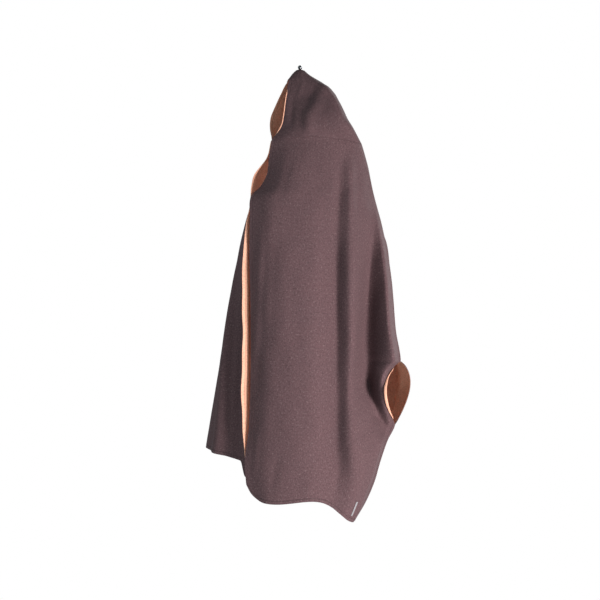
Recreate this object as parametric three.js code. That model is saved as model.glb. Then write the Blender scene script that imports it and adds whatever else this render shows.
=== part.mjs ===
import * as THREE from 'three';

// A hooded cape of double-faced wool, hung by the peak of its hood on a wall peg.
// Millimetres, +Z up, +Y into the wall. The origin is on the wall face, on the peg's axis.
// Inside the tables, x is to the right, y is away from the viewer measured from the ball
// of the peg, and drop is the distance below the peg's axis.

// Driving dimensions
const REACH = 290;
const CLOTH = 2.2;
const SEAM_GAP = 0.3;
const SLIT_TOP = 880;
const SLIT_FOOT = 1068;
const NECK_BLEND = 110;

const PEG = {
  roseRadius: 25, roseDepth: 5, chamfer: 1, stemRadius: 4, ballRadius: 6.5, ballSteps: 8, sides: 24 };
const LOOP = { near: 7, depth: 6, tape: 1.2, legHalfWidth: 1.5, legFoot: 22, steps: 20 };
const LABEL = {
  width: 9, height: 41, thickness: 1, inset: 64, top: 1288, panelWidth: 480, across: 4, down: 6 };

// Steps of the grids: columns of each body panel, and columns and rows of each hood half
const BODY_COLUMNS = { left_front: 26, back: 32, right_front: 20 };
const HOOD_STEPS = { across: 12, down: 16, brow: 4 };

// The right front's edge bends outwards and stands off the panel, so that its inner face shows
const TURN = { bendLength: 14, bendSteps: 5, legSteps: 2 };

const named = (columns, rows) => rows.map(
  (row) => Object.fromEntries(columns.split(' ').map((name, i) => [name, row[i]])));

// Seam of hood and body, from the near end of the front round the nape to the far end
const NECK = named('name x y drop', [
  ['front_near', -84, -43, 223],
  ['near_front', -34, -66, 219],
  ['near_side', 45, -78, 215],
  ['near_back', 130, -52, 222],
  ['left_shoulder', 180, 0, 229],
  ['nape_side', 180, 45, 231],
  ['nape', 150, 82, 231],
  ['far_back', 100, 100, 230],
  ['right_shoulder', 45, 98, 228],
  ['far_side', -25, 78, 225],
  ['far_front', -68, 30, 223],
  ['front_far', -81, -22, 223],
]);

// Plan of the two side lines, each shared by a front and the back
const SIDES = {
  leftSide: named('drop x y', [
    [229, 180, 0], [275, 194, 0], [325, 207, -2], [376, 218, -4], [424, 231, -6], [470, 243, -14],
    [560, 261, -26], [640, 272, -38], [700, 277, -46], [790, 284, -50], [850, 295, -50], [880, 298, -48],
    [1068, 282, -42], [1115, 260, -38], [1180, 238, -34], [1240, 221, -28], [1300, 195, -27], [1353, 164, -26],
  ]),
  rightSide: named('drop x y', [
    [228, 45, 98], [290, 30, 128], [360, 12, 156], [450, -12, 184], [560, -34, 208], [700, -54, 226],
    [880, -74, 244], [1068, -74, 248], [1180, -68, 246], [1264, -62, 244],
  ]),
};

// Plan of each body panel at a few drops: a pair of columns for each inner line down the garment
const LEFT_FRONT = named('drop edgeX edgeY breastX breastY middleX middleY armX armY', [
  [223, -84, -43, -20, -74, 60, -78, 130, -52],
  [275, -91, -52, -28, -92, 62, -94, 140, -62],
  [325, -97, -62, -36, -108, 62, -108, 152, -72],
  [362, -115, -72, -46, -118, 60, -118, 158, -78],
  [392, -144, -80, -64, -126, 58, -126, 164, -82],
  [450, -147, -90, -76, -134, 54, -138, 174, -88],
  [560, -148, -94, -82, -142, 48, -152, 186, -94],
  [700, -145, -98, -84, -148, 42, -162, 196, -90],
  [880, -144, -100, -84, -152, 38, -170, 200, -92],
  [1068, -149, -102, -88, -152, 34, -172, 194, -106],
  [1180, -161, -104, -92, -150, 28, -170, 164, -114],
  [1353, -142, -104, -86, -148, 20, -166, 116, -108],
]);

const BACK = named('drop bladeX bladeY centreX centreY wingX wingY', [
  [229, 180, 50, 150, 82, 100, 100],
  [290, 198, 66, 150, 118, 92, 134],
  [360, 214, 82, 150, 146, 80, 164],
  [450, 230, 94, 148, 168, 66, 188],
  [560, 250, 106, 144, 184, 54, 206],
  [700, 264, 118, 140, 196, 46, 220],
  [880, 272, 116, 136, 204, 38, 230],
  [1068, 255, 108, 130, 206, 34, 232],
  [1180, 214, 96, 118, 204, 32, 230],
  [1353, 160, 80, 96, 198, 28, 226],
]);

const RIGHT_FRONT = named('drop wingX wingY limbX limbY chestX chestY edgeX edgeY', [
  [223, -25, 78, -62, 44, -76, 14, -81, -22],
  [275, -34, 100, -76, 62, -90, 22, -95, -20],
  [325, -48, 120, -98, 76, -115, 30, -130, -31],
  [362, -60, 134, -110, 78, -123, 22, -139, -50],
  [392, -72, 144, -128, 80, -134, 6, -142, -64],
  [450, -92, 160, -150, 82, -158, 0, -148, -70],
  [560, -120, 184, -180, 88, -180, 2, -152, -76],
  [700, -148, 204, -208, 92, -198, -2, -151, -76],
  [880, -172, 222, -240, 96, -218, -4, -151, -76],
  [1068, -186, 230, -270, 100, -238, -4, -154, -78],
  [1180, -188, 232, -288, 102, -250, -4, -158, -80],
  [1353, -184, 230, -300, 102, -256, -4, -160, -80],
]);

// Hem drop across each panel, in the order of its lines
const HEMS = {
  left_front: named('at drop', [
    [0, 1240], [0.03, 1264], [0.08, 1281], [0.14, 1290], [0.25, 1292], [0.45, 1283], [0.54, 1286],
    [0.63, 1301], [0.72, 1322], [0.84, 1343], [1, 1355],
  ]),
  back: named('at drop', [
    [0, 1355], [0.2, 1296], [0.45, 1240], [0.7, 1228], [0.88, 1246], [1, 1264],
  ]),
  right_front: named('at drop', [
    [0, 1264], [0.13, 1226], [0.3, 1172], [0.5, 1148], [0.68, 1150], [0.85, 1162], [1, 1178],
  ]),
};

// Hanging folds. The centre runs from its place at the top to its place at the foot, as x on the
// left front and as a share of the panel's width elsewhere. rise is how far the fold stands out,
// a trough having a negative rise; before and after are its half widths on either side.
const FOLD_COLUMNS = 'name topAt footAt start foot rise before after';
const NO_FOOT = 1420;
const FOLDS = {
  left_front: named(FOLD_COLUMNS, [
    ['edge_ridge', -112, -132, 430, 900, 4, 20, 20],
    ['edge_trough', -88, -120, 440, 1000, -6, 26, 44],
    ['long_trough', 90, 94, 290, 1290, -16, 56, 60],
    ['long_crest', 150, 154, 280, 1290, 32, 50, 56],
    ['cuff_trough', 240, 166, 330, 1060, -30, 40, 90],
    ['cuff_foot', 206, 258, 890, 1120, -25, 44, 46],
    ['cuff_crest', 270, 280, 340, 966, 84, 92, 26],
    ['side_crest', 270, 136, 1030, NO_FOOT, 44, 104, 22],
  ]),
  back: named(FOLD_COLUMNS, [
    ['cuff_hollow', 0.1, 0.12, 520, 1250, -8, 0.08, 0.08],
    ['left_crest', 0.25, 0.24, 330, NO_FOOT, 20, 0.09, 0.07],
    ['left_trough', 0.36, 0.37, 380, NO_FOOT, -22, 0.07, 0.07],
    ['centre_crest', 0.5, 0.5, 300, NO_FOOT, 24, 0.09, 0.08],
    ['centre_trough', 0.62, 0.64, 400, NO_FOOT, -24, 0.07, 0.08],
    ['right_crest', 0.75, 0.77, 340, NO_FOOT, 20, 0.08, 0.07],
    ['right_trough', 0.88, 0.89, 460, NO_FOOT, -16, 0.06, 0.07],
  ]),
  right_front: named(FOLD_COLUMNS, [
    ['wing_trough', 0.2, 0.19, 420, NO_FOOT, -20, 0.08, 0.09],
    ['wing_crest', 0.34, 0.34, 380, NO_FOOT, 20, 0.1, 0.1],
    ['limb_trough', 0.48, 0.5, 440, NO_FOOT, -16, 0.08, 0.09],
    ['chest_crest', 0.77, 0.77, 480, NO_FOOT, 12, 0.08, 0.09],
  ]),
};

// How far each edge of a hand slit bows aside (x) and swells (y) out of the line of the side seam
const SLIT_BOWS = {
  left_front: { atSide: 1, x: -38, y: -54 },
  leftBack: { atSide: 0, x: 36, y: 48 },
  rightBack: { atSide: 1, x: 16, y: 22 },
  right_front: { atSide: 0, x: -34, y: 0 },
};
const SLIT_BOW_REACH = 0.27;

// How far the right front's edge is turned, in degrees, and its length past the bend
const TURN_ROWS = named('drop angle leg', [
  [223, 0, 1], [410, 0, 1.5], [440, 35, 2], [470, 80, 3], [500, 98, 5], [560, 100, 10], [640, 100, 14],
  [790, 100, 18], [910, 100, 20], [1000, 100, 20], [1090, 98, 16], [1150, 85, 10], [1182, 70, 5],
]);

// Hood halves: rows from the peak past the brow to the neck, three columns for each line down
const BROW_ROW = 2;
const LEFT_HOOD = named(
  'frontX frontY frontDrop crestX crestY crestDrop rearX rearY rearDrop seamX seamY seamDrop', [
  [-11, 10, 8, -1, 6.7, 7, 6, 6.9, 8, 13, 10, 9],
  [-22, 7, 19, 2, -6, 20, 20, -3, 21, 36, 14, 28],
  [-31, 0, 32, 8, -20, 42, 44, -20, 42, 71, 20, 47],
  [-36, -10, 55, 26, -34, 68, 76, -44, 66, 102, 30, 73],
  [-42, -20, 84, 54, -52, 98, 98, -64, 96, 117, 38, 98],
  [-46, -26, 112, 42, -66, 128, 112, -74, 126, 131, 46, 126],
  [-50, -30, 145, 28, -74, 160, 124, -80, 156, 143, 56, 156],
  [-58, -35, 180, 30, -78, 190, 146, -68, 188, 151, 68, 192],
  [-84, -43, 223, 45, -78, 215, 170, -14, 227, 150, 82, 231],
]);
const RIGHT_HOOD = named(
  'seamX seamY seamDrop rearX rearY rearDrop domeX domeY domeDrop frontX frontY frontDrop', [
  [13, 10, 9, 7, 13, 8, -1, 13.3, 7, -11, 10, 8],
  [36, 14, 28, 22, 30, 24, 4, 34, 21, -22, 7, 19],
  [71, 20, 47, 48, 50, 44, 10, 52, 42, -31, 0, 32],
  [102, 30, 73, 70, 66, 70, 18, 70, 68, -48, 6, 57],
  [117, 38, 98, 88, 78, 98, 22, 84, 98, -63, 18, 86],
  [131, 46, 126, 98, 88, 126, 24, 94, 128, -77, 28, 114],
  [143, 56, 156, 106, 96, 156, 24, 100, 160, -91, 36, 147],
  [151, 68, 192, 106, 100, 192, 16, 98, 192, -92, 26, 182],
  [150, 82, 231, 100, 100, 230, -25, 78, 225, -81, -22, 223],
]);

// Points inside the body and the hood from which their seams face outwards
const BODY_HEART = new THREE.Vector3(40, 40, 0);
const HOOD_HEART = new THREE.Vector3(20, 24, -150);

// Colours of the two faces of the cloth, the loop, the label and the peg
const COLOURS = {
  outer: [0.165, 0.098, 0.108],
  loop: [0.05, 0.035, 0.035],
  label: [0.42, 0.4, 0.4],
  steel: [0.55, 0.56, 0.58],
};

// Maths

const smoothstep = (low, high, value) => {
  const t = THREE.MathUtils.clamp((value - low) / (high - low), 0, 1);
  return t * t * (3 - 2 * t);
};

const bell = (t) => (Math.abs(t) < 1 ? 0.5 + 0.5 * Math.cos(Math.PI * t) : 0);

// Smooth curve through values at increasing knots
function curveAt(knots, values, at) {
  const last = knots.length - 1;
  let i = 0;
  while (i < last - 1 && at > knots[i + 1]) i += 1;
  const slope = (k) => {
    const low = Math.max(k - 1, 0);
    const high = Math.min(k + 1, last);
    return (values[high] - values[low]) / (knots[high] - knots[low]);
  };
  const span = knots[i + 1] - knots[i];
  const t = THREE.MathUtils.clamp((at - knots[i]) / span, 0, 1);
  const t2 = t * t;
  const t3 = t2 * t;
  return (2 * t3 - 3 * t2 + 1) * values[i] + (t3 - 2 * t2 + t) * span * slope(i)
    + (3 * t2 - 2 * t3) * values[i + 1] + (t3 - t2) * span * slope(i + 1);
}

const columnAt = (table, key, column, at) => curveAt(
  table.map((row) => row[key]), table.map((row) => row[column]), at);

// Smooth curve through points, read by its share of the straight lengths between them
function alongPoints(points, share) {
  const knots = [0];
  for (let i = 1; i < points.length; i += 1) {
    knots.push(knots[i - 1] + points[i].distanceTo(points[i - 1]));
  }
  const at = share * knots[knots.length - 1];
  return new THREE.Vector3(
    curveAt(knots, points.map((p) => p.x), at),
    curveAt(knots, points.map((p) => p.y), at),
    curveAt(knots, points.map((p) => p.z), at));
}

// The neck seam, shared by the hood and the body

const NECK_POINTS = NECK.map((row) => new THREE.Vector3(row.x, row.y, -row.drop));

function neckShare(name) {
  let length = 0;
  let found = 0;
  NECK.forEach((row, i) => {
    if (i > 0) length += NECK_POINTS[i].distanceTo(NECK_POINTS[i - 1]);
    if (row.name === name) found = length;
  });
  return found / length;
}

const LEFT_SHOULDER = neckShare('left_shoulder');
const NAPE = neckShare('nape');
const RIGHT_SHOULDER = neckShare('right_shoulder');
const neckPoint = (from, to, u) => alongPoints(NECK_POINTS, from + (to - from) * u);

// Body panels

function linePoint(table, line, drop) {
  const side = SIDES[line];
  const x = side ? columnAt(side, 'drop', 'x', drop) : columnAt(table, 'drop', `${line}X`, drop);
  const y = side ? columnAt(side, 'drop', 'y', drop) : columnAt(table, 'drop', `${line}Y`, drop);
  return new THREE.Vector3(x, y, 0);
}

const planPoint = (table, lines, drop, u) => alongPoints(
  lines.map((line) => linePoint(table, line, drop)), u);

// Shares of a fold's length over which it comes up, and from which it dies away at its foot
const FOLD_RISEN = 0.35;
const FOLD_WANES = 0.82;

function foldRise(folds, at, drop) {
  return folds.reduce((sum, fold) => {
    const down = THREE.MathUtils.clamp((drop - fold.start) / (fold.foot - fold.start), 0, 1);
    const centre = fold.topAt + (fold.footAt - fold.topAt) * down;
    const width = at < centre ? fold.before : fold.after;
    const waned = fold.foot < NO_FOOT ? smoothstep(FOLD_WANES, 1, down) : 0;
    const fade = smoothstep(0, FOLD_RISEN, down) * (1 - waned);
    return sum + fold.rise * fade * bell((at - centre) / width);
  }, 0);
}

// The bow of a hand slit's edge is fullest a third of the way down the slit, its swell halfway
const BOW_LEAN = 0.62;
function slitBow(drop) {
  const down = (drop - SLIT_TOP) / (SLIT_FOOT - SLIT_TOP);
  return down > 0 && down < 1 ? Math.sin(Math.PI * down ** BOW_LEAN) : 0;
}
const slitSwell = (drop) => bell((2 * drop - SLIT_TOP - SLIT_FOOT) / (SLIT_FOOT - SLIT_TOP));

const BODY = {
  left_front: { table: LEFT_FRONT, lines: ['edge', 'breast', 'middle', 'arm', 'leftSide'],
    neck: [0, LEFT_SHOULDER], bows: [SLIT_BOWS.left_front], foldsByX: true },
  back: { table: BACK, lines: ['leftSide', 'blade', 'centre', 'wing', 'rightSide'],
    neck: [LEFT_SHOULDER, RIGHT_SHOULDER], bows: [SLIT_BOWS.leftBack, SLIT_BOWS.rightBack] },
  right_front: { table: RIGHT_FRONT, lines: ['rightSide', 'wing', 'limb', 'chest', 'edge'],
    neck: [RIGHT_SHOULDER, 1], bows: [SLIT_BOWS.right_front] },
};

// Share of a panel's width on either side of a point that gives the panel's direction there
const TANGENT_STEP = 0.01;

// Folds die away at the side seams, so that the two panels meet there
const SEWN_FADE = 0.06;
const sewnFade = (name, u) => BODY[name].bows.reduce(
  (product, bow) => product * smoothstep(0, SEWN_FADE, Math.abs(u - bow.atSide)), 1);

// A point of a body panel's inner face: u from its first line to its last, drop below the peg
function bodyPoint(name, u, drop) {
  const { table, lines, neck, bows, foldsByX } = BODY[name];
  const flat = planPoint(table, lines, drop, u);
  const rise = sewnFade(name, u) * foldRise(FOLDS[name], foldsByX ? flat.x : u, drop);
  if (foldsByX) {
    flat.y -= rise;
  } else {
    const step = TANGENT_STEP;
    const before = planPoint(table, lines, drop, Math.max(u - step, 0));
    const after = planPoint(table, lines, drop, Math.min(u + step, 1));
    const outward = new THREE.Vector3(after.y - before.y, before.x - after.x, 0).normalize();
    flat.addScaledVector(outward, rise);
  }
  bows.forEach((bow) => {
    const near = 1 - smoothstep(0, SLIT_BOW_REACH, Math.abs(u - bow.atSide));
    flat.x += bow.x * near * slitBow(drop);
    flat.y += bow.y * near * slitSwell(drop);
  });
  flat.z = -drop;
  const seam = neckPoint(neck[0], neck[1], u);
  const top = planPoint(table, lines, -seam.z, u);
  const pull = 1 - smoothstep(-seam.z, -seam.z + NECK_BLEND, drop);
  flat.x += (seam.x - top.x) * pull;
  flat.y += (seam.y - top.y) * pull;
  return flat;
}

// Rows of a panel fall on the same drops at both ends of the hand slits
const ROWS = { above: 13, slit: 8, below: 6 };
const rowCount = ROWS.above + ROWS.slit + ROWS.below;

function rowDrop(name, u, row) {
  const { neck } = BODY[name];
  const top = -neckPoint(neck[0], neck[1], u).z + SEAM_GAP / 2;
  const foot = columnAt(HEMS[name], 'at', 'drop', u);
  if (row <= ROWS.above) return top + (SLIT_TOP - top) * row / ROWS.above;
  if (row <= ROWS.above + ROWS.slit) {
    return SLIT_TOP + (SLIT_FOOT - SLIT_TOP) * (row - ROWS.above) / ROWS.slit;
  }
  return SLIT_FOOT + (foot - SLIT_FOOT) * (row - ROWS.above - ROWS.slit) / ROWS.below;
}

function bodyGrid(name, columns) {
  return Array.from({ length: rowCount + 1 }, (_, row) => columns.map(
    (u) => bodyPoint(name, u, rowDrop(name, u, row))));
}

const evenly = (count) => Array.from({ length: count + 1 }, (_, i) => i / count);

function addTurn(grid) {
  grid.forEach((row) => {
    const edge = row[row.length - 1];
    const drop = -edge.z;
    const forward = edge.clone().sub(row[row.length - 2]).setZ(0).normalize();
    const outward = new THREE.Vector3(forward.y, -forward.x, 0);
    const turned = Math.max(columnAt(TURN_ROWS, 'drop', 'angle', drop), 1);
    const angle = THREE.MathUtils.degToRad(turned);
    const radius = TURN.bendLength / angle;
    const place = (bent, leg) => edge.clone()
      .addScaledVector(forward, radius * Math.sin(bent) + leg * Math.cos(bent))
      .addScaledVector(outward, radius * (1 - Math.cos(bent)) + leg * Math.sin(bent));
    for (let i = 1; i <= TURN.bendSteps; i += 1) row.push(place(angle * i / TURN.bendSteps, 0));
    const leg = columnAt(TURN_ROWS, 'drop', 'leg', drop);
    for (let i = 1; i <= TURN.legSteps; i += 1) row.push(place(angle, leg * i / TURN.legSteps));
  });
  return grid;
}

// Hood halves

// The front line turns a corner at the brow, where the seam ends and the face opening starts
function hoodValue(table, line, column, row) {
  const rows = table.map((_, i) => i);
  const values = table.map((r) => r[line + column]);
  if (line !== 'front') return curveAt(rows, values, row);
  const part = row <= BROW_ROW ? [0, BROW_ROW + 1] : [BROW_ROW, rows.length];
  return curveAt(rows.slice(...part), values.slice(...part), row);
}

function hoodGrid(table, lines, neck, across, down) {
  const last = table.length - 1;
  const surface = (u, row) => alongPoints(lines.map((line) => new THREE.Vector3(
    hoodValue(table, line, 'X', row), hoodValue(table, line, 'Y', row),
    -hoodValue(table, line, 'Drop', row))), u);
  return Array.from({ length: down + 1 }, (_, j) => evenly(across).map((u) => {
    const row = last * j / down;
    const pull = smoothstep(last - 2, last, row);
    const seam = neckPoint(neck[0], neck[1], u);
    seam.z += SEAM_GAP / 2;
    return surface(u, row).addScaledVector(seam.sub(surface(u, last)), pull);
  }));
}

// A wall of cloth: inner points, and outer points moved out along the surface by its thickness

function outwardAt(grid, row, column, level) {
  const above = grid[Math.max(row - 1, 0)][column];
  const below = grid[Math.min(row + 1, grid.length - 1)][column];
  const before = grid[row][Math.max(column - 1, 0)];
  const after = grid[row][Math.min(column + 1, grid[row].length - 1)];
  const outward = below.clone().sub(above).cross(after.clone().sub(before));
  if (level) outward.z = 0;
  return outward.normalize();
}

// A sewn edge: both pieces take the same outward direction, and each keeps half of the seam's gap
function sewEdge(grid, column, heart, { level = true, until = grid.length - 1 } = {}) {
  const neighbour = column === 0 ? 1 : column - 1;
  const edge = grid.map((row) => row[column].clone());
  const directions = new Map();
  for (let j = 0; j <= until; j += 1) {
    const outward = edge[j].clone().sub(heart);
    if (level || j === edge.length - 1) outward.z = 0;
    outward.normalize();
    const along = edge[Math.min(j + 1, edge.length - 1)].clone().sub(edge[Math.max(j - 1, 0)]);
    const aside = along.cross(outward).normalize();
    if (aside.dot(grid[j][neighbour].clone().sub(edge[j])) < 0) aside.negate();
    grid[j][column].addScaledVector(aside, SEAM_GAP / 2);
    directions.set(j, outward);
  }
  return { column, directions };
}

// Rows where a hand slit parts the two edges are left out of the side seam
const inSlit = (row) => row > ROWS.above && row < ROWS.above + ROWS.slit;

function sewSide(grid, column) {
  const edge = grid.map((row) => row[column].clone());
  const seam = sewEdge(grid, column, BODY_HEART);
  edge.forEach((point, row) => {
    if (inSlit(row)) {
      grid[row][column].copy(point);
      seam.directions.delete(row);
    }
  });
  return seam;
}

function wallGeometry(grid, { thickness = CLOTH, lift = 0, levelRow = -1, seams = [] } = {}) {
  const rows = grid.length;
  const columns = grid[0].length;
  const positions = [];
  [lift, lift + thickness].forEach((out) => grid.forEach((row, j) => row.forEach((point, i) => {
    const seam = seams.find((one) => one.column === i && one.directions.has(j));
    const outward = seam ? seam.directions.get(j) : outwardAt(grid, j, i, j === levelRow);
    positions.push(point.x + outward.x * out, point.y + outward.y * out - REACH, point.z + outward.z * out);
  })));
  const inner = (j, i) => j * columns + i;
  const outer = (j, i) => rows * columns + j * columns + i;
  const index = [];
  const quad = (a, b, c, d) => index.push(a, b, c, a, c, d);
  for (let j = 0; j < rows - 1; j += 1) {
    for (let i = 0; i < columns - 1; i += 1) {
      quad(outer(j, i), outer(j + 1, i), outer(j + 1, i + 1), outer(j, i + 1));
      quad(inner(j, i), inner(j, i + 1), inner(j + 1, i + 1), inner(j + 1, i));
    }
    const last = columns - 1;
    quad(inner(j, 0), inner(j + 1, 0), outer(j + 1, 0), outer(j, 0));
    quad(outer(j, last), outer(j + 1, last), inner(j + 1, last), inner(j, last));
  }
  for (let i = 0; i < columns - 1; i += 1) {
    const last = rows - 1;
    quad(inner(0, i), outer(0, i), outer(0, i + 1), inner(0, i + 1));
    quad(outer(last, i), inner(last, i), inner(last, i + 1), outer(last, i + 1));
  }
  const geometry = new THREE.BufferGeometry();
  geometry.setAttribute('position', new THREE.Float32BufferAttribute(positions, 3));
  geometry.setIndex(index);
  geometry.computeVertexNormals();
  return geometry;
}

// Scene

const cape = new THREE.Group();

function addMesh(name, geometry, colour, roughness, metalness = 0) {
  const material = new THREE.MeshStandardMaterial({
    color: new THREE.Color(...colour), roughness, metalness });
  const mesh = new THREE.Mesh(geometry, material);
  mesh.name = name;
  cape.add(mesh);
}

const CLOTH_ROUGHNESS = 0.95;
const STEEL_ROUGHNESS = 0.25;
const addCloth = (name, geometry) => addMesh(name, geometry, COLOURS.outer, CLOTH_ROUGHNESS);

function addBody() {
  const leftFront = bodyGrid('left_front', evenly(BODY_COLUMNS.left_front));
  const leftSeam = sewSide(leftFront, leftFront[0].length - 1);
  addCloth('left_front', wallGeometry(leftFront, { levelRow: 0, seams: [leftSeam] }));

  const back = bodyGrid('back', evenly(BODY_COLUMNS.back));
  const backSeams = [sewSide(back, 0), sewSide(back, back[0].length - 1)];
  addCloth('back', wallGeometry(back, { levelRow: 0, seams: backSeams }));

  const rightFront = bodyGrid('right_front', evenly(BODY_COLUMNS.right_front));
  const rightSeam = sewSide(rightFront, 0);
  addCloth('right_front', wallGeometry(addTurn(rightFront), { levelRow: 0, seams: [rightSeam] }));
}

function addHood() {
  const last = HOOD_STEPS.across;
  const crown = { level: false };
  const brow = { level: false, until: HOOD_STEPS.brow };
  const left = hoodGrid(LEFT_HOOD, ['front', 'crest', 'rear', 'seam'], [0, NAPE], last, HOOD_STEPS.down);
  const leftSeams = [sewEdge(left, last, HOOD_HEART, crown), sewEdge(left, 0, HOOD_HEART, brow)];
  addCloth('hood_left', wallGeometry(left, { levelRow: HOOD_STEPS.down, seams: leftSeams }));
  const right = hoodGrid(RIGHT_HOOD, ['seam', 'rear', 'dome', 'front'], [NAPE, 1], last, HOOD_STEPS.down);
  const rightSeams = [sewEdge(right, 0, HOOD_HEART, crown), sewEdge(right, last, HOOD_HEART, brow)];
  addCloth('hood_right', wallGeometry(right, { levelRow: HOOD_STEPS.down, seams: rightSeams }));
}

// Tape loop round the peg's stem, with its two ends together inside the hood's peak
function addLoop() {
  const hole = PEG.stemRadius + SEAM_GAP;
  const outside = hole + LOOP.tape;
  const foot = -LOOP.legFoot;
  const shoulder = Math.asin(LOOP.legHalfWidth / outside);
  const outline = new THREE.Shape();
  outline.moveTo(-LOOP.legHalfWidth, foot);
  outline.lineTo(LOOP.legHalfWidth, foot);
  outline.absarc(0, 0, outside, shoulder - Math.PI / 2, 1.5 * Math.PI - shoulder, false);
  outline.closePath();
  const around = new THREE.Path();
  around.absarc(0, 0, hole, 0, 2 * Math.PI, true);
  outline.holes.push(around);
  const geometry = new THREE.ExtrudeGeometry(outline, {
    depth: LOOP.depth, bevelEnabled: false, curveSegments: LOOP.steps });
  geometry.rotateX(Math.PI / 2);
  geometry.translate(0, LOOP.near + LOOP.depth - REACH, 0);
  addMesh('hanger_loop', geometry, COLOURS.loop, CLOTH_ROUGHNESS);
}

// Small bare tab on the near hem corner, made from the panel's own points, moved out
function addLabel() {
  const grid = Array.from({ length: LABEL.down + 1 }, (_, j) => evenly(LABEL.across).map((t) => {
    const drop = LABEL.top + LABEL.height * j / LABEL.down;
    const sideShare = 1 - (LABEL.inset + LABEL.width * (1 - t)) / LABEL.panelWidth;
    return bodyPoint('left_front', sideShare, drop);
  }));
  addMesh('side_label', wallGeometry(grid, { thickness: LABEL.thickness, lift: CLOTH + SEAM_GAP }),
    COLOURS.label, CLOTH_ROUGHNESS);
}

// Steel peg: a rose on the wall, a stem and a ball end, turned about its axis
function addPeg() {
  const { roseRadius, roseDepth, chamfer, stemRadius, ballRadius, ballSteps, sides } = PEG;
  const meet = Math.asin(stemRadius / ballRadius);
  const profile = [new THREE.Vector2(0, 0), new THREE.Vector2(roseRadius, 0),
    new THREE.Vector2(roseRadius, roseDepth - chamfer), new THREE.Vector2(roseRadius - chamfer, roseDepth),
    new THREE.Vector2(stemRadius, roseDepth)];
  for (let i = 0; i <= ballSteps; i += 1) {
    const angle = meet + (Math.PI - meet) * i / ballSteps;
    const radius = i === ballSteps ? 0 : ballRadius * Math.sin(angle);
    profile.push(new THREE.Vector2(radius, REACH - ballRadius * Math.cos(angle)));
  }
  const geometry = new THREE.LatheGeometry(profile, sides);
  geometry.rotateX(Math.PI);
  addMesh('wall_peg', geometry, COLOURS.steel, STEEL_ROUGHNESS, 1);
}

addBody();
addHood();
addLoop();
addLabel();
addPeg();

export default cape;
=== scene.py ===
import math

import bpy
import numpy as np
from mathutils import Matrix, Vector


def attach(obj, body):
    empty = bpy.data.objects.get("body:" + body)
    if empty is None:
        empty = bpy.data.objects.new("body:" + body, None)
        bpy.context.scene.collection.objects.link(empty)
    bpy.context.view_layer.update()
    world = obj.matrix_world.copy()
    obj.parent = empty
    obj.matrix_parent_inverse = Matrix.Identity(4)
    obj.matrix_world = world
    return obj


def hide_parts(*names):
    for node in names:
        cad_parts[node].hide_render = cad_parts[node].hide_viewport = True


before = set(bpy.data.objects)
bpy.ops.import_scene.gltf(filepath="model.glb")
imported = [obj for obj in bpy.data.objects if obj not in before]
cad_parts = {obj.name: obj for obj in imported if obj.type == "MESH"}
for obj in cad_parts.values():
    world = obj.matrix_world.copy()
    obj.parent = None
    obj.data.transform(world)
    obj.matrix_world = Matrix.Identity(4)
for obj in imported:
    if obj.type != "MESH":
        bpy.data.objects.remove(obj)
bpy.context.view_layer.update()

# A hooded cape of double-faced wool, hung by its hood's peak on a wall peg.
# Sizes are in millimetres here and turn into metres where a mesh is made. In the tables x is
# to the right, y is away from the viewer measured from the peg's ball, and drop is the
# distance below the peg's axis. The peg's rose lies on the wall at y = REACH.
METRE = 0.001
REACH = 290
CLOTH = 2.2
SEAM_GAP = 0.3
SLIT_TOP = 880
SLIT_FOOT = 1068
NECK_BLEND = 110


def named(columns, rows):
    """A table as one array for each named column."""
    return dict(zip(columns.split(), (np.array(column, float) for column in zip(*rows))))


# Seam of hood and body, from the near end of the front round the nape to the far end
NECK_NAMES = ("front_near near_front near_side near_back left_shoulder nape_side nape far_back "
              "right_shoulder far_side far_front front_far").split()
NECK = named("x y drop", [
    (-84, -43, 223), (-34, -66, 219), (45, -78, 215), (130, -52, 222), (180, 0, 229), (180, 45, 231),
    (150, 82, 231), (100, 100, 230), (45, 98, 228), (-25, 78, 225), (-68, 30, 223), (-81, -22, 223),
])

# Plan of the two side lines, each shared by a front and the back
SIDES = {
    "leftSide": named("drop x y", [
        (229, 180, 0), (275, 194, 0), (325, 207, -2), (376, 218, -4), (424, 231, -6), (470, 243, -14),
        (560, 261, -26), (640, 272, -38), (700, 277, -46), (790, 284, -50), (850, 295, -50), (880, 298, -48),
        (1068, 282, -42), (1115, 260, -38), (1180, 238, -34), (1240, 221, -28), (1300, 195, -27),
        (1353, 164, -26),
    ]),
    "rightSide": named("drop x y", [
        (228, 45, 98), (290, 30, 128), (360, 12, 156), (450, -12, 184), (560, -34, 208), (700, -54, 226),
        (880, -74, 244), (1068, -74, 248), (1180, -68, 246), (1264, -62, 244),
    ]),
}

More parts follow.
